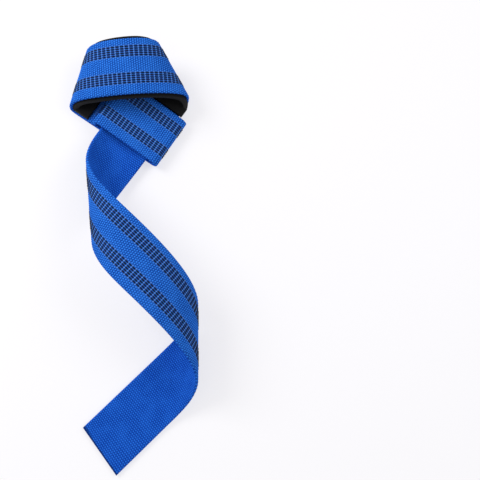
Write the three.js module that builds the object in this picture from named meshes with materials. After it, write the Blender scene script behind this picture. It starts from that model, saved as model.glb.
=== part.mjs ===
// A lasso lifting strap, lying curled on a table.
// A straight strip of woven webbing runs from the cut tip through a loose curl, through its own
// end loop and round the wrist, and a foam pad lines the inside of the wrist part.
// Millimetres, +Z up, the table top is z = 0 and the origin is the middle of the footprint.

import * as THREE from "three";

// Webbing
const webbingWidth = 38;
const webbingThickness = 2.6;

// Wrist pad, glued to the plain face of the webbing and a little wider than it. Towards its end in
// the underside one edge draws in behind the webbing.
const padWidth = 42;
const padThickness = 4;
const padGap = 0.3;
const padStartInMiddle = 23.6;
const padEndInUnderside = 8.2;
const padDrawIn = 2.8;
const padCutClear = 0.5;

// Where the middle of the cut tip lies, which way the tail runs and how far the tip is out of square
const tipX = -20.91;
const tipY = -130.51;
const tailHeading = 43;
const tipSlant = 8;

// The strip in order from the tip. The strip never stretches, it only rolls about straight lines
// that cross it.
// length: along the middle of the strip.
// turn: degrees rolled about those lines, positive towards the plain face.
// slant: degrees by which the line at the end of the row leans from straight across.
const stripRows = [
  { name: "tail", length: 47.5, turn: 0, slant: 43.6 },
  { name: "right_curl", length: 75.7, turn: 132.8, slant: 43.6 },
  { name: "arch", length: 62.3, turn: 59.2, slant: 48.2 },
  { name: "left_curl", length: 120.94, turn: 167.92, slant: 49.97 },
  { name: "middle", length: 25.1, turn: 0, slant: -1.7 },
  { name: "right_corner", length: 22.5, turn: 77.1, slant: 27.7 },
  { name: "right_side", length: 14.7, turn: 72.5, slant: 25.8 },
  { name: "front_right", length: 22.6, turn: 37.9, slant: 1.1 },
  { name: "front_left", length: 24.9, turn: 24.8, slant: -21.9 },
  { name: "left_corner", length: 21.8, turn: 66.7, slant: -22.6 },
  { name: "heel", length: 16.4, turn: 90.93, slant: -1.24 },
  { name: "underside", length: 60.2, turn: 0, slant: 0 },
  { name: "fold", length: 13.4, turn: 173.5, slant: 0 },
  { name: "loop_top", length: 42.3, turn: 0, slant: 0 },
  { name: "step_down", length: 7.2, turn: 110.6, slant: 0 },
  { name: "step_level", length: 7.2, turn: -104.1, slant: 0 },
  { name: "sewn_end", length: 2, turn: 0, slant: 0 },
];

// How finely the curves are cut into flat facets
const turnPerFacet = 4;
const longestFacet = 6;
const longestStep = 0.25;

// Places along the strip where each row starts, and the running turn and slant there
const rowStart = {};
const knotPlace = [0];
const knotTurn = [0];
const knotSlant = [THREE.MathUtils.degToRad(tipSlant)];
for (const row of stripRows) {
  const last = knotPlace.length - 1;
  rowStart[row.name] = knotPlace[last];
  knotPlace.push(knotPlace[last] + row.length);
  knotTurn.push(knotTurn[last] + THREE.MathUtils.degToRad(row.turn));
  knotSlant.push(THREE.MathUtils.degToRad(row.slant));
}

// A smooth curve through the knots that never overshoots, so a flat row stays exactly flat
function smoothThrough(places, values) {
  const gaps = [];
  const rates = [];
  for (let i = 0; i + 1 < places.length; i++) {
    gaps.push(places[i + 1] - places[i]);
    rates.push((values[i + 1] - values[i]) / gaps[i]);
  }
  const slopes = places.map(() => 0);
  for (let i = 1; i + 1 < places.length; i++) {
    if (rates[i - 1] * rates[i] > 0) {
      const before = 2 * gaps[i] + gaps[i - 1];
      const after = gaps[i] + 2 * gaps[i - 1];
      slopes[i] = (before + after) / (before / rates[i - 1] + after / rates[i]);
    }
  }
  return (place) => {
    let i = 0;
    while (i + 2 < places.length && place >= places[i + 1]) i++;
    const u = (place - places[i]) / gaps[i];
    const w = 1 - u;
    return (
      (1 + 2 * u) * w * w * values[i] +
      u * w * w * gaps[i] * slopes[i] +
      u * u * (3 - 2 * u) * values[i + 1] -
      u * u * w * gaps[i] * slopes[i + 1]
    );
  };
}
const turnAt = smoothThrough(knotPlace, knotTurn);
const slantAt = smoothThrough(knotPlace, knotSlant);

// Where the strip is measured: close together on the curves, only at the ends of the flats
const padStart = rowStart.middle + padStartInMiddle;
const padEnd = rowStart.underside + padEndInUnderside;
const places = [padStart, padEnd, knotPlace[knotPlace.length - 1]];
for (const row of stripRows) {
  const countByLength = Math.ceil(row.length / longestFacet);
  const countByTurn = Math.ceil(Math.abs(row.turn) / turnPerFacet);
  const count = row.turn === 0 ? 1 : Math.max(countByLength, countByTurn);
  for (let i = 0; i < count; i++) {
    places.push(rowStart[row.name] + (row.length * i) / count);
  }
}
places.sort((a, b) => a - b);

// Roll the strip out from the tip. Each station holds the middle point, the way along the strip,
// the way off its plain face and the straight line that crosses it.
function rollOut() {
  const heading = THREE.MathUtils.degToRad(tailHeading);
  const middle = new THREE.Vector3(tipX, tipY, webbingThickness / 2);
  const along = new THREE.Vector3(Math.cos(heading), Math.sin(heading), 0);
  const normal = new THREE.Vector3(0, 0, 1);
  const stations = [];
  let here = 0;
  for (const place of places) {
    const steps = Math.ceil((place - here) / longestStep);
    const step = steps > 0 ? (place - here) / steps : 0;
    for (let i = 0; i < steps; i++) {
      const roll = turnAt(here + step) - turnAt(here);
      const lean = slantAt(here + step / 2);
      const across = new THREE.Vector3().crossVectors(normal, along);
      const axis = across.multiplyScalar(-Math.cos(lean)).addScaledVector(along, -Math.sin(lean));
      const before = along.clone();
      const halfway = along.clone().applyAxisAngle(axis, roll / 2);
      along.applyAxisAngle(axis, roll).normalize();
      normal.applyAxisAngle(axis, roll).normalize();
      middle.addScaledVector(before, step / 6);
      middle.addScaledVector(halfway, (4 * step) / 6);
      middle.addScaledVector(along, step / 6);
      here += step;
    }
    here = place;
    stations.push({
      place,
      middle: middle.clone(),
      along: along.clone(),
      normal: normal.clone(),
      lean: slantAt(place),
    });
  }
  return stations;
}

// A closed solid between two offsets from the middle of the strip. drawIn tells how far the edge on
// the low side draws in at a place.
function slab(stations, width, low, high, drawIn) {
  const points = [];
  for (const station of stations) {
    const lowSide = -width / 2 + drawIn(station.place);
    const corners = [
      { side: lowSide, off: low },
      { side: width / 2, off: low },
      { side: width / 2, off: high },
      { side: lowSide, off: high },
    ];
    const crossing = new THREE.Vector3().crossVectors(station.normal, station.along);
    crossing.addScaledVector(station.along, Math.tan(station.lean));
    for (const corner of corners) {
      const point = station.middle.clone();
      point.addScaledVector(crossing, corner.side);
      point.addScaledVector(station.normal, corner.off);
      points.push(point.x, point.y, point.z);
    }
  }
  const faces = [0, 2, 1, 0, 3, 2];
  const end = 4 * (stations.length - 1);
  for (let i = 0; i < end; i += 4) {
    for (let j = 0; j < 4; j++) {
      const a = i + j;
      const b = i + ((j + 1) % 4);
      faces.push(a, b, b + 4, a, b + 4, a + 4);
    }
  }
  faces.push(end, end + 1, end + 2, end, end + 2, end + 3);
  const geometry = new THREE.BufferGeometry();
  geometry.setAttribute("position", new THREE.Float32BufferAttribute(points, 3));
  geometry.setIndex(faces);
  geometry.computeVertexNormals();
  return geometry;
}

const strip = rollOut();

// The pad follows the same strip between its two square cuts, which lie on flat stretches.
const padCut = (place) => ({ ...strip.find((station) => station.place === place), lean: 0 });
const bentFrom = rowStart.right_corner + padCutClear;
const bentTo = rowStart.underside - padCutClear;
const padStations = [
  padCut(padStart),
  ...strip.filter((station) => station.place > bentFrom && station.place < bentTo),
  padCut(padEnd),
];

const padNarrowing = (place) =>
  padDrawIn * THREE.MathUtils.smoothstep(place, rowStart.left_corner, rowStart.underside);

const webbing = new THREE.Mesh(
  slab(strip, webbingWidth, -webbingThickness / 2, webbingThickness / 2, () => 0),
  new THREE.MeshStandardMaterial({ color: 0x1c5fc4, roughness: 0.85 }),
);
webbing.name = "webbing_strap";

const padLow = webbingThickness / 2 + padGap;
const pad = new THREE.Mesh(
  slab(padStations, padWidth, padLow, padLow + padThickness, padNarrowing),
  new THREE.MeshStandardMaterial({ color: 0x17171a, roughness: 0.9 }),
);
pad.name = "wrist_pad";

const liftingStrap = new THREE.Group();
liftingStrap.name = "lifting_strap";
liftingStrap.add(webbing, pad);

export default liftingStrap;
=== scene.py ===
# %% [markdown]
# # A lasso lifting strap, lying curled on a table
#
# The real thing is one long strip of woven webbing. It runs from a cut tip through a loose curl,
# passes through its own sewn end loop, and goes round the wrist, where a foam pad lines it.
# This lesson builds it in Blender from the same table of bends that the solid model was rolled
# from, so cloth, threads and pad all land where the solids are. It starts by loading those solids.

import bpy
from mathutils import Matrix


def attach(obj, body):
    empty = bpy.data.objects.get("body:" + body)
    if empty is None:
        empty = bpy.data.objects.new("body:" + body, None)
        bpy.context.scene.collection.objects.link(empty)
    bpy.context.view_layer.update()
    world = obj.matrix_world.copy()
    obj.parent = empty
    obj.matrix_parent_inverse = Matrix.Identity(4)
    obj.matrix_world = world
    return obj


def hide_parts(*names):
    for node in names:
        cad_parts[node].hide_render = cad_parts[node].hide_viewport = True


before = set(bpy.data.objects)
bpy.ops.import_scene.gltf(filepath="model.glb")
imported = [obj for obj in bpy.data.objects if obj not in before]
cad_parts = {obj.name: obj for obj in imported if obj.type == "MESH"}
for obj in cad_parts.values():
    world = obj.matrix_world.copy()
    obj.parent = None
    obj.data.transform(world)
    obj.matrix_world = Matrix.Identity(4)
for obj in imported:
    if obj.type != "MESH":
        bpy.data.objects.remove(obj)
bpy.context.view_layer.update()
print("solids:", sorted(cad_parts))

# %% The other tools used below
import math
from collections import namedtuple

import bpy
import numpy as np
from mathutils import Matrix, Vector

MM = 0.001
print("Blender", bpy.app.version_string)

# %% [markdown]
# ## The camera
#
# The photograph looks almost straight down, from about 60 cm, with the strap left of the middle.
# A lens shift could move it there, but a shifted camera is awkward for other views. Here the
# camera first looks at a point of the table and is then turned about its own upright and sideways
# axes until that point lands on the wanted pixel.

# %% Place the camera
image_side = 480
table_point = Vector((-2.04, 0.27, 0.0)) * MM
table_pixel = (129, 255)
view_elevation = math.radians(81)
view_distance = 600 * MM
pixels_per_tangent = 867
sensor_width = 36
nearest_seen = 0.01
farthest_seen = 60


def camera_axes():
    back = Vector((0, -math.cos(view_elevation), math.sin(view_elevation)))
    right = Vector((1, 0, 0))
    ahead = -back
    up = right.cross(ahead)
    sideways = math.atan((image_side / 2 - table_pixel[0]) / pixels_per_tangent)
    ahead_turned = ahead * math.cos(sideways) + right * math.sin(sideways)
    right_turned = right * math.cos(sideways) - ahead * math.sin(sideways)
    upward = math.atan((table_pixel[1] - image_side / 2) / pixels_per_tangent)
    ahead_final = ahead_turned * math.cos(upward) + up * math.sin(upward)
    up_final = up * math.cos(upward) - ahead_turned * math.sin(upward)
    return back, right_turned, up_final, -ahead_final


def make_camera():
    back, right, up, behind = camera_axes()
    data = bpy.data.cameras.new("strap_camera")
    data.sensor_width = sensor_width
    data.lens = sensor_width * pixels_per_tangent / image_side
    data.clip_start = nearest_seen
    data.clip_end = farthest_seen
    camera = bpy.data.objects.new("strap_camera", data)
    bpy.context.scene.collection.objects.link(camera)
    turn = Matrix((right, up, behind)).transposed().to_4x4()
    camera.matrix_world = Matrix.Translation(table_point + back * view_distance) @ turn
    bpy.context.scene.camera = camera
    return camera


camera = make_camera()
camera_place = [round(x, 3) for x in camera.matrix_world.translation]
print("lens", round(camera.data.lens, 2), "mm, camera at", camera_place)

# %% [markdown]
# ## The strip's table of bends
#
# Webbing bends easily but does not stretch, so it can only roll about straight lines that cross
# it. Each row of the table is one stretch of the strip: how long it is in millimetres, how many
# degrees it rolls and how many the line at its end leans from straight across. A simulation could
# drop the strap on the table, but it would not land in the curl that is wanted, and this table
# gives it exactly.

# %% Write down the bends
webbing_width = 38.0
webbing_thickness = 2.6
tip_middle = (-20.91, -130.51)
tail_heading = 43.0
tip_slant = 8.0

Bend = namedtuple("Bend", "name length turn slant")
bends = [
    Bend("tail", 47.5, 0, 43.6),
    Bend("right_curl", 75.7, 132.8, 43.6),
    Bend("arch", 62.3, 59.2, 48.2),
    Bend("left_curl", 120.94, 167.92, 49.97),
    Bend("middle", 25.1, 0, -1.7),
    Bend("right_corner", 22.5, 77.1, 27.7),
    Bend("right_side", 14.7, 72.5, 25.8),
    Bend("front_right", 22.6, 37.9, 1.1),
    Bend("front_left", 24.9, 24.8, -21.9),
    Bend("left_corner", 21.8, 66.7, -22.6),
    Bend("heel", 16.4, 90.93, -1.24),
    Bend("underside", 60.2, 0, 0),
    Bend("fold", 13.4, 173.5, 0),
    Bend("loop_top", 42.3, 0, 0),
    Bend("step_down", 7.2, 110.6, 0),
    Bend("step_level", 7.2, -104.1, 0),
    Bend("sewn_end", 2, 0, 0),
]
knot_place = np.concatenate([[0.0], np.cumsum([bend.length for bend in bends])])
knot_turn = np.radians(np.concatenate([[0.0], np.cumsum([bend.turn for bend in bends])]))
knot_slant = np.radians([tip_slant] + [bend.slant for bend in bends])
bend_start = {bend.name: place for bend, place in zip(bends, knot_place)}
strip_length = float(knot_place[-1])
print("the strip is", round(strip_length, 1), "mm long in", len(bends), "stretches")

# %% [markdown]
# ## Rolling the strip out
#
# Between the rows the turn and the slant follow a smooth curve that never overshoots, so a flat
# row stays flat. An ordinary spline would be as smooth, but it swings past its knots and would
# make ripples in the flat parts.


# %% Run smooth curves through the rows
def smooth_through(places, values):
    gaps = np.diff(places)
    rates = np.diff(values) / gaps
    slopes = np.zeros(len(places))
    for i in range(1, len(places) - 1):
        if rates[i - 1] * rates[i] > 0:
            before = 2 * gaps[i] + gaps[i - 1]
            after = gaps[i] + 2 * gaps[i - 1]
            slopes[i] = (before + after) / (before / rates[i - 1] + after / rates[i])

    def value_at(place):
        i = np.clip(np.searchsorted(places, place, side="right") - 1, 0, len(gaps) - 1)
        u = (place - places[i]) / gaps[i]
        w = 1 - u
        from_values = (1 + 2 * u) * w * w * values[i] + u * u * (3 - 2 * u) * values[i + 1]
        from_slopes = u * w * gaps[i] * (w * slopes[i] - u * slopes[i + 1])
        return from_values + from_slopes

    return value_at


turn_at = smooth_through(knot_place, knot_turn)
slant_at = smooth_through(knot_place, knot_slant)
print("in all the strip turns", round(math.degrees(turn_at(strip_length))), "degrees")

# %% [markdown]
# The strip is then rolled out in steps of about a quarter of a millimetre, like tape along a wire:
# at each step the two directions of the cloth spin about the crossing line.

# %% Roll the strip out
roll_steps = 2400


def spun(arrow, axis, angle):
    kept = axis * np.dot(axis, arrow)
    return kept + (arrow - kept) * math.cos(angle) + np.cross(axis, arrow) * math.sin(angle)


# On a flat row nothing bends, so its crossing lines simply swing evenly from end to end.
def evened_leans(places, leans):
    for bend, start in zip(bends, knot_place):
        if bend.turn == 0:
            ends = [start, start + bend.length]
            flat = (places >= ends[0]) & (places <= ends[1])
            leans[flat] = np.interp(places[flat], ends, np.interp(ends, places, leans))
    return leans


def roll_out(step_count):
    places = np.linspace(0, strip_length, step_count + 1)
    step = strip_length / step_count
    turns = turn_at(places)
    slants = slant_at(places)
    heading = math.radians(tail_heading)
    middle = np.array([*tip_middle, webbing_thickness / 2])
    forward = np.array([math.cos(heading), math.sin(heading), 0.0])
    normal = np.array([0.0, 0.0, 1.0])
    rows = [(middle, forward, normal)]
    for i in range(step_count):
        roll = turns[i + 1] - turns[i]
        lean = (slants[i] + slants[i + 1]) / 2
        axis = -np.cross(normal, forward) * math.cos(lean) - forward * math.sin(lean)
        halfway = spun(forward, axis, roll / 2)
        ahead = spun(forward, axis, roll)
        # Simpson's rule over the step
        middle = middle + step * (forward + 4 * halfway + ahead) / 6
        normal = spun(normal, axis, roll)
        forward = ahead
        rows.append((middle, forward, normal))
    middles, forwards, normals = (np.array(column) for column in zip(*rows))
    return places, middles, forwards, normals, evened_leans(places, np.tan(slants))


strip_place, strip_middle, strip_forward, strip_normal, strip_lean = roll_out(roll_steps)
print("highest point of the middle line:", round(float(strip_middle[:, 2].max()), 1), "mm")

# %% [markdown]
# ## From flat cloth to curled cloth
#
# Everything on the strap is easiest to lay out on flat cloth: so far along, so far across, so far
# off the surface. A curve modifier could bend a flat mesh, but it knows nothing of crossing lines
# that lean. One function carries flat places to their place in the curl instead. It first looks up
# which line a place lies on, for all places of one side together.


# %% Carry flat places onto the strip
def cloth(along, across, off):
    along, across, off = (np.array(x, float) for x in np.broadcast_arrays(along, across, off))
    nearest_side = np.round(across, 1)
    place = np.empty(along.shape)
    for side in np.unique(nearest_side):
        column = nearest_side == side
        place[column] = np.interp(along[column], strip_place + side * strip_lean, strip_place)

    def looked_up(table):
        return np.stack([np.interp(place, strip_place, table[:, axis]) for axis in range(3)], -1)

    normal = looked_up(strip_normal)
    forward = looked_up(strip_forward)
    lean = np.interp(place, strip_place, strip_lean)
    crossing = np.cross(normal, forward) + lean[..., None] * forward
    points = looked_up(strip_middle) + across[..., None] * crossing + off[..., None] * normal
    return points * MM


tip_corners = cloth(0, [-webbing_width / 2, webbing_width / 2], 0)
print("square tip corners in metres:", np.round(tip_corners, 4).tolist())

# %% [markdown]
# ## The weave
#
# Close up, the webbing is a plain weave: 48 lengthwise yarns go over one crosswise yarn and under
# the next, and neighbours take turns. Where a yarn is on top it makes a crown, and each crosswise
# yarn makes a faint rib. A bump map alone would vanish at the edges, so the crowns are real: one
# point for each yarn, and two points along each rib, its top and the valley after it. The yarns are
# numbered from 1, so yarn zero is only the place to count from.

# %% Lay out the weave grid
yarn_count = 48
yarn_pitch = 0.77
yarn_zero_from_edge = 0.07
wanted_rib_pitch = 1.55
rows_per_rib = 2

row_count = rows_per_rib * int(round(strip_length / wanted_rib_pitch))
row_pitch = strip_length / row_count
rib_pitch = rows_per_rib * row_pitch
row_number = np.arange(row_count + 1)
row_along = row_number * row_pitch
on_rib = row_number % rows_per_rib == 0
yarn_number = np.arange(1, yarn_count + 1)
yarn_side = -webbing_width / 2 + yarn_zero_from_edge + yarn_pitch * yarn_number
print(row_count, "rows and", yarn_count, "yarns, a rib each", round(rib_pitch, 3), "mm")

# %% [markdown]
# One face also carries two bands in which each second yarn is a rubber grip thread. A thread lies
# on top for most of two ribs and dips under between. There the blue yarns beside it come up, which
# gives a row of light dots across the band. All heights here are shares of a full crown.

# %% Raise the bumps on both faces
grip_yarns = np.array([10, 12, 14, 16, 18, 34, 36, 38, 40, 42])
is_grip = np.isin(yarn_number, grip_yarns)
in_band = np.isin(yarn_number, np.concatenate([grip_yarns - 1, grip_yarns, grip_yarns + 1]))
crown_relief = 1.0
under_relief = 0.35
valley_relief = 0.2
band_low_relief = 0.15
grip_bed_relief = 0.3


def face_of_bumps(striped):
    rib_row = on_rib[:, None]
    on_top = (row_number[:, None] // rows_per_rib + yarn_number) % 2 == 1
    relief = np.where(rib_row, np.where(on_top, crown_relief, under_relief), valley_relief)
    if striped:
        blue_in_band = np.where(rib_row & on_top, crown_relief, band_low_relief)
        relief = np.where(in_band, np.where(is_grip, grip_bed_relief, blue_in_band), relief)
    return relief


plain_relief = face_of_bumps(False)
striped_relief = face_of_bumps(True)
print("crowns on the plain face:", int((plain_relief == crown_relief).sum()))
print("crowns on the striped face:", int((striped_relief == crown_relief).sum()))

# %% [markdown]
# ## One closed strip of webbing
#
# A row of points goes over the plain face, round one selvedge, back over the striped face and
# round the other, so each row is a ring. The selvedges are thinner than the faces and nip in
# between the ribs. Both ends thin out where heat and the sewing press them. Two separate sheets
# would be simpler, but they would gape at the edges.

# %% Wrap the two faces into rings
core_half_thickness = 0.95
bump_height = 0.36
edge_half_thickness = 0.55
edge_scallop = 0.18
edge_relief = 0.5
tip_thinning = 0.45
sewn_end_thinning = 0.2
thinning_length = 0.5


def with_edges(face, edge):
    edge_column = np.broadcast_to(edge, len(face))[:, None]
    return np.concatenate([edge_column, face, edge_column], 1)


def around(upper, lower):
    return np.concatenate([upper, lower[:, ::-1]], 1)


def face_height(relief):
    near_tip = np.exp(-row_along / thinning_length)
    near_sewn_end = np.exp((row_along - strip_length) / thinning_length)
    thinned = 1 - tip_thinning * near_tip - sewn_end_thinning * near_sewn_end
    height = with_edges(core_half_thickness + bump_height * relief, edge_half_thickness)
    return height * thinned[:, None]


def webbing_rings():
    edge_side = webbing_width / 2 - np.where(on_rib, 0.0, edge_scallop)
    half_ring = with_edges(np.broadcast_to(yarn_side, plain_relief.shape), edge_side)
    half_ring[:, 0] *= -1
    zeros = np.zeros(half_ring.shape)
    along = row_along[:, None] + zeros
    plain = with_edges(plain_relief, edge_relief)
    striped = with_edges(striped_relief, edge_relief)
    return {
        "along": around(along, along),
        "across": around(half_ring, half_ring),
        "off": around(face_height(plain_relief), -face_height(striped_relief)),
        "relief": around(plain, striped),
        "band": around(zeros, with_edges(zeros[:, 1:-1] + in_band, 0.0)),
        "plain": around(zeros + 1, zeros),
    }


webbing_ring = webbing_rings()
print("rings and points in each:", webbing_ring["along"].shape)

# %% [markdown]
# A stack of rings is a tube, and every piece of this strap is made of such tubes. The ends of a
# tube are closed with a strip of quads from one half of the ring to the other, because a single
# many-sided face over bumpy cloth is not flat. A second helper turns points and faces into a
# piece, and a third notes values on its points.


# %% Close a tube of rings
def tube_faces(rows, columns):
    here = np.arange(rows - 1)[:, None] * columns + np.arange(columns)
    beside = np.arange(rows - 1)[:, None] * columns + (np.arange(columns) + 1) % columns
    quads = np.stack([here, here + columns, beside + columns, beside], -1)
    return quads.reshape(-1, 4).tolist()


def end_grid(first, columns, turned):
    half = columns // 2
    pairs = [(first + j, first + columns - 1 - j) for j in range(half)]
    faces = [[a, b, d, c] for (a, c), (b, d) in zip(pairs, pairs[1:])]
    return [face[::-1] for face in faces] if turned else faces


def closed_tube(rows, columns):
    ends = end_grid(0, columns, False) + end_grid((rows - 1) * columns, columns, True)
    return tube_faces(rows, columns) + ends


print("a tube of 2 rings of 4 points has", len(closed_tube(2, 4)), "faces, as a box has")


# %% Turn points into a piece
def new_piece(name, points, faces):
    mesh = bpy.data.meshes.new(name)
    mesh.from_pydata(np.reshape(points, (-1, 3)).tolist(), [], faces)
    mesh.polygons.foreach_set("use_smooth", [True] * len(mesh.polygons))
    mesh.update()
    piece = bpy.data.objects.new(name, mesh)
    bpy.context.scene.collection.objects.link(piece)
    triangles = sum(len(polygon.vertices) - 2 for polygon in mesh.polygons)
    print(name, "has", triangles, "triangles")
    return piece


def note_on_points(piece, name, values):
    values = np.asarray(values, np.float32)
    kind = "FLOAT" if values.ndim == 1 else "FLOAT_VECTOR"
    layer = piece.data.attributes.new(name, kind, "POINT")
    layer.data.foreach_set("value" if kind == "FLOAT" else "vector", values.ravel())


# %% [markdown]
# The tip is cut a little out of square. The rows next to it lean with the cut and stand square
# again further on. Flat places, bands and faces are noted on the points, so that the finishes can
# read them later.

# %% Make the webbing
cut_fade_length = 45.0


def sheared_for_tip(along, across):
    fade = np.clip(1 - along / cut_fade_length, 0, 1) ** 2
    return along + across * math.tan(math.radians(tip_slant)) * fade


def make_webbing(ring):
    along, across = ring["along"], ring["across"]
    points = cloth(sheared_for_tip(along, across), across, ring["off"])
    piece = new_piece("woven_webbing", points, closed_tube(*along.shape))
    note_on_points(piece, "cloth", np.stack([along, across, ring["relief"]], -1).reshape(-1, 3))
    note_on_points(piece, "grip_band", ring["band"].ravel())
    note_on_points(piece, "plain_face", ring["plain"].ravel())
    return piece


webbing = make_webbing(webbing_ring)

# %% [markdown]
# ## The grip threads
#
# Ten rubber threads run along one face in two bands of five. Each thread shows as a row of short
# black bars where it lies over the cloth, and dips under between them. The bars stand in line
# across a band. A painted stripe would look flat from the side, so each bar is a small closed dome
# with its foot in the cloth.

# %% Shape one bar
bar_half_length = 1.28
bar_half_width = 0.6
bar_foot = 0.8
bar_top = 1.52
bar_rows = [-1, -0.86, -0.5, 0, 0.5, 0.86, 1]
bar_columns = [1, 0.75, 0.25, -0.25, -0.75, -1]
bar_end_fall = 0.9
bar_end_sharpness = 5


def one_bar():
    lengthwise, sideways = np.meshgrid(bar_rows, bar_columns, indexing="ij")
    ends = np.sqrt(1 - bar_end_fall * np.abs(lengthwise) ** bar_end_sharpness)
    dome = np.sqrt(1 - sideways**2) * ends
    return lengthwise.ravel(), sideways.ravel(), dome.ravel(), closed_tube(*dome.shape)


print("points in one bar:", len(bar_rows) * len(bar_columns))

# %% Make the grip threads
bar_pitch = 2 * rib_pitch
first_bar = 1.5 * bar_pitch


def make_grip_threads():
    lengthwise, sideways, dome, faces_of_one = one_bar()
    bars_along = np.arange(first_bar, strip_length - bar_pitch, bar_pitch)
    bars = np.meshgrid(bars_along, yarn_side[is_grip])
    bar_along, bar_side = (grid.reshape(-1, 1) for grid in bars)
    along = bar_along + lengthwise * bar_half_length
    across = bar_side + sideways * bar_half_width
    height = np.broadcast_to(dome, along.shape)
    off = -bar_foot - (bar_top - bar_foot) * height
    points = cloth(sheared_for_tip(along, across), across, off)
    firsts = range(0, along.size, len(dome))
    faces = [[first + k for k in face] for first in firsts for face in faces_of_one]
    piece = new_piece("grip_threads", points, faces)
    note_on_points(piece, "cloth", np.stack([along, across, height], -1).reshape(-1, 3))
    print(is_grip.sum(), "threads with", len(bars_along), "bars each")
    return piece


grip_threads = make_grip_threads()

# %% [markdown]
# ## The wrist pad
#
# A strip of foam rubber, 4 mm thick with a fine knit on both faces, is glued inside the wrist part.
# It is cut a little wider than the webbing, so its black edge frames the blue. Cloth simulation
# would puff it up, but this foam is cut from sheet and stays even, so the pad is a slab that bends
# with the strip: flat cut sides, softly rounded corners and a slight swell on the inner face.

# %% Draw the pad's outline
pad_width = 42.0
pad_face_inset = 1.2
pad_face_columns = 40

# One cut side from the inner face to the outer: how far in from the side, how high as a share of
# the thickness, and how much of the knit skin shows
PadCorner = namedtuple("PadCorner", "inward height skin")
pad_side = [
    PadCorner(0.35, 1.0, 0.9),
    PadCorner(0.08, 0.94, 0.4),
    PadCorner(0.0, 0.8, 0.0),
    PadCorner(0.0, 0.5, 0.0),
    PadCorner(0.0, 0.2, 0.0),
    PadCorner(0.08, 0.06, 0.4),
    PadCorner(0.35, 0.0, 0.9),
]


def pad_outline():
    half = pad_width / 2
    inward, height, skin = np.array(pad_side).T
    face = np.linspace(-half + pad_face_inset, half - pad_face_inset, pad_face_columns)
    full = np.ones(pad_face_columns)
    outline_across = np.concatenate([face, half - inward, face[::-1], -half + inward[::-1]])
    outline_height = np.concatenate([full, height, 0 * full, height[::-1]])
    outline_skin = np.concatenate([full, skin, full, skin[::-1]])
    return outline_across, outline_height, outline_skin


print("points round the pad:", 2 * (pad_face_columns + len(pad_side)))

# %% [markdown]
# The pad starts just before the right corner of the wrist part and ends on the underside. Towards
# that end one edge draws in behind the webbing. Both ends are rounded by thinning the last rows.

# %% Place the pad's rows
pad_before_corner = 1.5
pad_on_underside = 8.2
pad_start = bend_start["right_corner"] - pad_before_corner
pad_end = bend_start["underside"] + pad_on_underside
pad_row_pitch = 0.8
pad_last_gap = 0.5
pad_end_inset = np.array([0.0, 0.08, 0.35])
pad_end_thickness = np.array([0.86, 0.95, 1.0])
pad_draw_in = 2.8


def pad_rows():
    between = np.arange(pad_start + pad_row_pitch, pad_end - pad_last_gap, pad_row_pitch)
    rows = np.concatenate([pad_start + pad_end_inset, between, pad_end - pad_end_inset[::-1]])
    thickness = np.concatenate([pad_end_thickness, np.ones(len(between)), pad_end_thickness[::-1]])
    return rows, thickness


def drawn_in(rows):
    draw_start, draw_end = bend_start["left_corner"], bend_start["underside"]
    share = np.clip((rows - draw_start) / (draw_end - draw_start), 0, 1)
    return pad_draw_in * share**2 * (3 - 2 * share)


print("the pad is", round(float(pad_end - pad_start), 1), "mm long")

# %% Make the wrist pad
pad_gap = 0.12
pad_rise = 4.3
pad_low = webbing_thickness / 2 + pad_gap
pad_high = webbing_thickness / 2 + pad_rise
pad_swell = 0.12
swell_reach_along = 9.0
swell_reach_across = 11.0
swollen_above = 0.9
pad_end_skin = 0.3


def make_wrist_pad():
    across, height, skin = pad_outline()
    rows, thickness = pad_rows()
    along = rows[:, None] + np.zeros(len(across))
    wave = np.sin(along / swell_reach_along) * np.cos(across / swell_reach_across)
    swell = pad_swell * wave * (height > swollen_above)
    from_middle = (height - 0.5) * (pad_high - pad_low) * thickness[:, None]
    off = (pad_low + pad_high) / 2 + from_middle + swell
    from_high_side = (pad_width / 2 - across) / pad_width
    side = across + drawn_in(rows)[:, None] * from_high_side
    piece = new_piece("foam_wrist_pad", cloth(along, side, off), closed_tube(*along.shape))
    knit_skin = np.broadcast_to(skin, along.shape).copy()
    knit_skin[[0, -1]] = pad_end_skin
    note_on_points(piece, "cloth", np.stack([along, side, off], -1).reshape(-1, 3))
    note_on_points(piece, "knit_skin", knit_skin.ravel())
    return piece


wrist_pad = make_wrist_pad()

# %% [markdown]
# ## The stitches of the sewn end
#
# The end of the strip is folded back to make the loop and sewn down with two rows of short
# stitches across the webbing. Each stitch is a little tube of thread that rises out of one needle
# hole and goes down into the next. Bevelled curves would look the same, but tubes of the kind made
# above are closed meshes from the start.

# %% Sew the end down
stitch_rows_from_end = [2.3, 0.9]
stitch_length = 2.6
stitch_gap = 0.5
stitch_margin = 2.2
stitch_slant = 0.25
thread_radius = 0.3
thread_rise = 1.32
thread_dip = 0.75
thread_sides = 6
stitch_steps = 7


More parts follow.
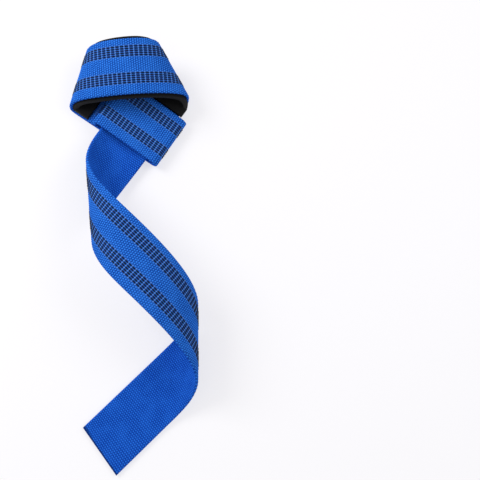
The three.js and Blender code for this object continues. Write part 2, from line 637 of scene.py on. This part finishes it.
def make_stitches():
    ring = np.linspace(0, 2 * np.pi, thread_sides + 1)[:-1]
    steps = np.linspace(-1, 1, stitch_steps)[:, None]
    faces_of_one = closed_tube(stitch_steps, thread_sides)
    first_start = -webbing_width / 2 + stitch_margin
    last_start = webbing_width / 2 - stitch_margin - stitch_length
    points, faces = [], []
    for from_end in stitch_rows_from_end:
        for start in np.arange(first_start, last_start, stitch_length + stitch_gap):
            first = len(points) * stitch_steps * thread_sides
            across = start + (1 + steps) * stitch_length / 2 + 0 * ring
            rise = thread_rise - thread_dip * steps**4
            off = thread_radius * np.sin(ring) - rise
            along = strip_length - from_end + thread_radius * np.cos(ring) + stitch_slant * steps
            points.append(cloth(along, across, off).reshape(-1, 3))
            faces += [[first + k for k in face] for face in faces_of_one]
    print(len(points), "stitches in", len(stitch_rows_from_end), "rows")
    return new_piece("sewn_end_stitches", np.array(points), faces)


stitches = make_stitches()

# %% [markdown]
# ## A small language for finishes
#
# Blender's materials are graphs of nodes, and long graphs are hard to read as code. A class that
# wraps one socket lets the maths be written as Python: `1 - mask` adds the Math node and links it.
# Every other node comes from one method, which sets a node's settings first and its sockets next.


# %% Wrap sockets so that they can be added and multiplied
class Wire:
    def __init__(self, finish, node, output):
        self.finish = finish
        self.node = node
        self.output = output

    def socket(self):
        return self.node.outputs[self.output]

    def other(self, output):
        return Wire(self.finish, self.node, output)

    def combined(self, operation, first, second):
        return self.finish.add("ShaderNodeMath", {"operation": operation}, {0: first, 1: second})

    def cosine(self):
        return self.finish.add("ShaderNodeMath", {"operation": "COSINE"}, {0: self})

    def __add__(self, value):
        return self.combined("ADD", self, value)

    def __radd__(self, value):
        return self.combined("ADD", value, self)

    def __sub__(self, value):
        return self.combined("SUBTRACT", self, value)

    def __rsub__(self, value):
        return self.combined("SUBTRACT", value, self)

    def __mul__(self, value):
        return self.combined("MULTIPLY", self, value)

    def __rmul__(self, value):
        return self.combined("MULTIPLY", value, self)


# %% Gather the nodes of one finish
class Finish:
    def __init__(self, name):
        self.material = bpy.data.materials.new(name)
        self.material.use_nodes = True
        self.tree = self.material.node_tree
        self.tree.nodes.clear()

    def add(self, kind, settings, sockets, output=0):
        node = self.tree.nodes.new(kind)
        for name, value in settings.items():
            setattr(node, name, value)
        for name, value in sockets.items():
            if isinstance(value, Wire):
                self.tree.links.new(value.socket(), node.inputs[name])
            else:
                node.inputs[name].default_value = value
        return Wire(self, node, output)

    def note(self, name, output):
        return self.add("ShaderNodeAttribute", {"attribute_name": name}, {}, output)

    # The grain tells how often the noise repeats in a unit of each direction.
    def noise(self, place, grain, detail):
        stretched = self.add("ShaderNodeVectorMath", {"operation": "MULTIPLY"}, {0: place, 1: grain})
        sockets = {"Vector": stretched, "Scale": 1.0, "Detail": detail}
        return self.add("ShaderNodeTexNoise", {}, sockets)

    # A Mix node has sockets for each kind of data: 6, 7 and the output 2 are its colours.
    def blend(self, factor, first, second):
        return self.add("ShaderNodeMix", {"data_type": "RGBA"}, {0: factor, 6: first, 7: second}, 2)

    def step(self, value, low, high):
        settings = {"interpolation_type": "SMOOTHSTEP"}
        return self.add("ShaderNodeMapRange", settings, {0: value, 1: low, 2: high, 3: 0.0, 4: 1.0})

    def bump(self, height, distance, strength):
        sockets = {"Height": height, "Distance": distance, "Strength": strength}
        return self.add("ShaderNodeBump", {}, sockets)

    def cover(self, piece, sockets):
        shader = self.add("ShaderNodeBsdfPrincipled", {}, sockets)
        self.add("ShaderNodeOutputMaterial", {}, {"Surface": shader})
        piece.data.materials.append(self.material)
        print(piece.name, "wears", self.material.name, "with", len(self.tree.nodes), "nodes")


# %% [markdown]
# ## Blue webbing
#
# The yarns are dyed a strong blue. Their crowns are painted lighter, a painted highlight, and the
# holes between them darker, a painted shade, so the colour follows the weave. A picture of cloth
# would blur close up and need unwrapping.
# The shader writes the same weave as cosines over the flat places, which keeps it crisp where the
# mesh is coarse, and fine streaks are the fibres. In the grip bands only the crowns of the blue
# yarns are light, a painted highlight, and the rest is painted darker, a painted shade between the
# bars. The cut tip was sealed with heat, which leaves a dark, smooth and ragged lip that is
# deepest at one corner.

# %% Write the weave and the sealed lip
weave_crossing = 0.8
lip_grain = (0.0, 0.25, 0.0)
lip_raggedness = 1.8
lip_corner_depth = 1.1
lip_shift = 0.6


def woven_waves(along, across):
    rib_wave = (along * (math.pi / rib_pitch)).cosine()
    from_yarn_zero = across + (webbing_width / 2 - yarn_zero_from_edge)
    yarn_wave = (from_yarn_zero * (math.pi / yarn_pitch)).cosine()
    return rib_wave * rib_wave - rib_wave * yarn_wave * weave_crossing


def sealed_lip(dye, flat, along, across):
    ragged = dye.noise(flat, lip_grain, detail=2.0)
    corner = dye.step(across, low=6.0, high=18.0)
    depth = ragged * lip_raggedness + corner * lip_corner_depth - lip_shift
    return 1 - dye.step(along - depth, low=0.2, high=1.4)


deepest_lip = lip_raggedness + lip_corner_depth - lip_shift
print("the sealed lip is up to", round(deepest_lip, 1), "mm deep, and then fades")

# %% Choose the blues
# Darker blues: painted shade in the weave's holes. Lighter blues: painted highlight on its crowns.
HOLE_SHADE_BLUE = (0.0002, 0.024, 0.22, 1)
CROWN_HIGHLIGHT_BLUE = (0.040, 0.252, 0.92, 1)
PLAIN_HOLE_SHADE_BLUE = (0.003, 0.040, 0.31, 1)
PLAIN_CROWN_HIGHLIGHT_BLUE = (0.025, 0.195, 0.86, 1)
# In the grip bands: painted shade between the bars, painted highlight on the blue crowns.
BAND_SHADE_BLUE = (0.020, 0.112, 0.49, 1)
BAND_CROWN_HIGHLIGHT_BLUE = (0.14, 0.31, 0.68, 1)
SEALED_BLUE = (0.002, 0.016, 0.10, 1)
patch_grain = (0.08, 0.1, 0.0)
fading = 0.15


# The crown mask gives crowns the painted highlight and holes the painted shade.
def ground_colour(dye, flat, plain, crown_highlight):
    hole_shade = dye.blend(plain, HOLE_SHADE_BLUE, PLAIN_HOLE_SHADE_BLUE)
    crown_highlight_colour = dye.blend(plain, CROWN_HIGHLIGHT_BLUE, PLAIN_CROWN_HIGHLIGHT_BLUE)
    yarn = dye.blend(crown_highlight, hole_shade, crown_highlight_colour)
    patch = dye.step(dye.noise(flat, patch_grain, detail=1.0), low=0.35, high=0.75)
    return dye.blend(patch * fading, yarn, crown_highlight_colour)


print("crowns are", CROWN_HIGHLIGHT_BLUE[:3], "on the striped face and", PLAIN_CROWN_HIGHLIGHT_BLUE[:3], "on the plain one")

# %% Dye the webbing
fibre_grain = (0.9, 7.0, 0.0)
uneven_grain = (0.65, 1.3, 0.0)
weave_share = 0.35
relief_share = 0.3
fibre_share = 0.4
uneven_share = 0.5
plain_lowering = 0.1
band_fibre_share = 0.3
sealed_darkening = 0.75
yarn_roughness = 0.85
sealed_smoothing = 0.35
fibre_roughening = 0.1
weave_bump_share = 0.3
fibre_bump_share = 0.8
yarn_bump_depth = 0.22 * MM


def dye_webbing(piece):
    dye = Finish("blue_woven_webbing")
    flat = dye.note("cloth", "Vector")
    band = dye.note("grip_band", "Fac")
    plain = dye.note("plain_face", "Fac")
    along = dye.add("ShaderNodeSeparateXYZ", {}, {0: flat}, "X")
    across = along.other("Y")
    relief = along.other("Z")
    weave = woven_waves(along, across)
    fibre = dye.noise(flat, fibre_grain, detail=3.0)
    uneven = dye.noise(flat, uneven_grain, detail=1.0)
    sealed = sealed_lip(dye, flat, along, across)
    woven_height = weave * weave_share + relief * relief_share - plain * plain_lowering
    height = woven_height + fibre * fibre_share + uneven * uneven_share
    # High places of the weave get the painted highlight, low places the painted shade.
    crown_highlight = dye.step(height, low=0.31, high=1.41)
    # In the bands the crowns get a painted highlight and the rest a painted shade.
    band_crown_highlight = dye.step(relief + fibre * band_fibre_share, low=0.45, high=1.15)
    band_yarn = dye.blend(band_crown_highlight, BAND_SHADE_BLUE, BAND_CROWN_HIGHLIGHT_BLUE)
    ground = dye.blend(band, ground_colour(dye, flat, plain, crown_highlight), band_yarn)
    bump_relief = weave * (1 - band) * weave_bump_share + fibre * fibre_bump_share
    sockets = {
        "Base Color": dye.blend(sealed * sealed_darkening, ground, SEALED_BLUE),
        "Roughness": yarn_roughness - sealed * sealed_smoothing + fibre * fibre_roughening,
        "Normal": dye.bump(bump_relief, yarn_bump_depth, strength=0.9),
        "Specular IOR Level": 0.03,
    }
    dye.cover(piece, sockets)


dye_webbing(webbing)

# %% [markdown]
# ## Black grip rubber and blue thread
#
# The grip threads are rubber: nearly black, a little shiny on the crowns and lighter and bluer
# lower down. One even black would look like paint, so the black drifts a little from bar to bar,
# and the bluer foot follows the height that was noted on each bar. The sewing thread is polyester
# in the colour of the webbing, and a fine noise stands for the twist of its strands.

# %% Finish the grip threads
GREENISH_BLACK = (0.002, 0.013, 0.030, 1)
BLUISH_BLACK = (0.007, 0.009, 0.042, 1)
GRIP_FOOT_BLUE = (0.009, 0.042, 0.14, 1)
rubber_grain = (2.2, 3.0, 0.0)
rubber_drift = (0.3, 0.55, 0.0)
rubber_bump_depth = 0.1 * MM
rubber_roughness = 0.5
foot_roughening = 0.3
foot_grain_share = 0.3


def finish_grip(piece):
    rubber = Finish("black_grip_rubber")
    flat = rubber.note("cloth", "Vector")
    dome = rubber.add("ShaderNodeSeparateXYZ", {}, {0: flat}, "Z")
    grain = rubber.noise(flat, rubber_grain, detail=3.0)
    # Each bar turns lighter and bluer towards its foot, following the noted height.
    toward_foot = 1 - rubber.step(dome + grain * foot_grain_share, low=0.25, high=0.95)
    drift = rubber.step(rubber.noise(flat, rubber_drift, detail=1.0), low=0.35, high=0.65)
    black = rubber.blend(drift, GREENISH_BLACK, BLUISH_BLACK)
    sockets = {
        "Base Color": rubber.blend(toward_foot, black, GRIP_FOOT_BLUE),
        "Roughness": rubber_roughness + toward_foot * foot_roughening,
        "Normal": rubber.bump(grain, rubber_bump_depth, strength=0.5),
        "Specular IOR Level": 0.1,
    }
    rubber.cover(piece, sockets)


finish_grip(grip_threads)

# %% Finish the stitches
THREAD_SHADE = (0.006, 0.05, 0.30, 1)
THREAD_LIGHT = (0.015, 0.13, 0.62, 1)
twist_grain = (1800.0, 1800.0, 1800.0)
thread_bump_depth = 0.1 * MM


def finish_stitches(piece):
    thread = Finish("blue_sewing_thread")
    place = thread.add("ShaderNodeTexCoord", {}, {}, "Object")
    twist = thread.noise(place, twist_grain, detail=2.0)
    sockets = {
        "Base Color": thread.blend(twist, THREAD_SHADE, THREAD_LIGHT),
        "Roughness": 0.6,
        "Normal": thread.bump(twist, thread_bump_depth, strength=0.5),
        "Specular IOR Level": 0.2,
    }
    thread.cover(piece, sockets)


finish_stitches(stitches)

# %% [markdown]
# ## Black foam
#
# The pad's faces are a fine black knit and its cut sides show the foam itself, a touch greyer and
# full of tiny cells. Two materials would meet in a hard line. The note on the mesh says where the
# skin is, and it mixes the two softly within one.

# %% Finish the pad
FOAM_SHADE = (0.008, 0.008, 0.008, 1)
FOAM_LIGHT = (0.026, 0.026, 0.027, 1)
KNIT_SHADE = (0.003, 0.003, 0.003, 1)
KNIT_LIGHT = (0.009, 0.009, 0.010, 1)
cell_grain = (3.0, 3.0, 3.0)
knit_grain = (1.6, 4.5, 0.0)
foam_bump_depth = 0.2 * MM
foam_roughness = 0.78
cell_roughening = 0.15


def finish_pad(piece):
    foam = Finish("black_foam_and_knit")
    flat = foam.note("cloth", "Vector")
    skin = foam.note("knit_skin", "Fac")
    cells = foam.noise(flat, cell_grain, detail=3.0)
    knit = foam.noise(flat, knit_grain, detail=1.0)
    cut_colour = foam.blend(cells, FOAM_SHADE, FOAM_LIGHT)
    knit_colour = foam.blend(knit, KNIT_SHADE, KNIT_LIGHT)
    height = cells * (1 - skin) + knit * skin
    sockets = {
        "Base Color": foam.blend(skin, cut_colour, knit_colour),
        "Roughness": foam_roughness + cells * cell_roughening,
        "Normal": foam.bump(height, foam_bump_depth, strength=0.7),
        "Specular IOR Level": 0.12,
    }
    foam.cover(piece, sockets)


finish_pad(wrist_pad)

# %% [markdown]
# ## Floor and light
#
# The strap lies on a white sheet under soft studio light: nearly even light from all round, a lamp
# at the upper left, and a weaker one at the right. They leave faint soft shadows round the strap.
# A plain white floor would show them too dark, so the sheet is greyer than it looks and glows a
# little, as paper on a light table does. It lies a hair below the lowest crowns of the cloth.

# %% Lay the floor
PAPER_SHADE = (0.335, 0.33, 0.335, 1)
PAPER_LIGHT = (0.345, 0.34, 0.345, 1)
PAPER_GLOW = (0.985, 0.975, 1.0, 1)
paper_grain = (900.0, 900.0, 900.0)
floor_reach = 20.0
floor_height = -0.26 * MM


def make_floor():
    corner_signs = [(-1, -1), (1, -1), (1, 1), (-1, 1)]
    corners = [(floor_reach * x, floor_reach * y, floor_height) for x, y in corner_signs]
    piece = new_piece("floor", np.array(corners), [[0, 1, 2, 3]])
    paper = Finish("white_paper")
    place = paper.add("ShaderNodeTexCoord", {}, {}, "Object")
    fleck = paper.noise(place, paper_grain, detail=2.0)
    sockets = {
        "Base Color": paper.blend(fleck, PAPER_SHADE, PAPER_LIGHT),
        "Roughness": 0.9,
        "Specular IOR Level": 0.1,
        "Emission Color": PAPER_GLOW,
        "Emission Strength": 0.637,
    }
    paper.cover(piece, sockets)
    return piece


floor = make_floor()

# %% Switch on the lights
SKY_COLOUR = (0.97, 0.975, 1.0, 1)
lamps_look_at = Vector((0, 0, 0.02))


def make_lamp(name, place, size, watts):
    data = bpy.data.lights.new(name, "AREA")
    data.shape = "DISK"
    data.size = size
    data.energy = watts
    lamp = bpy.data.objects.new(name, data)
    lamp.location = place
    lamp.rotation_mode = "QUATERNION"
    lamp.rotation_quaternion = (lamps_look_at - Vector(place)).to_track_quat("-Z", "Y")
    bpy.context.scene.collection.objects.link(lamp)
    print(name, "at", place, "gives", watts, "watts")


def make_sky(strength):
    world = bpy.data.worlds.new("studio_room")
    world.use_nodes = True
    backdrop = world.node_tree.nodes["Background"]
    backdrop.inputs["Color"].default_value = SKY_COLOUR
    backdrop.inputs["Strength"].default_value = strength
    bpy.context.scene.world = world


make_lamp("left_lamp", place=(-0.50, 0.32, 0.50), size=0.4, watts=3.8)
make_lamp("right_lamp", place=(0.45, 0.15, 0.55), size=0.4, watts=1.0)
make_sky(strength=0.63)
bpy.context.scene.view_settings.view_transform = "Standard"

# %% [markdown]
# ## Tie the pieces to the body
#
# Each visual piece rides on the root body, and the solids of the strap and its pad are hidden.

for piece in (webbing, grip_threads, stitches, wrist_pad):
    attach(piece, "root")
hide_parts("webbing_strap")
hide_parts("wrist_pad")
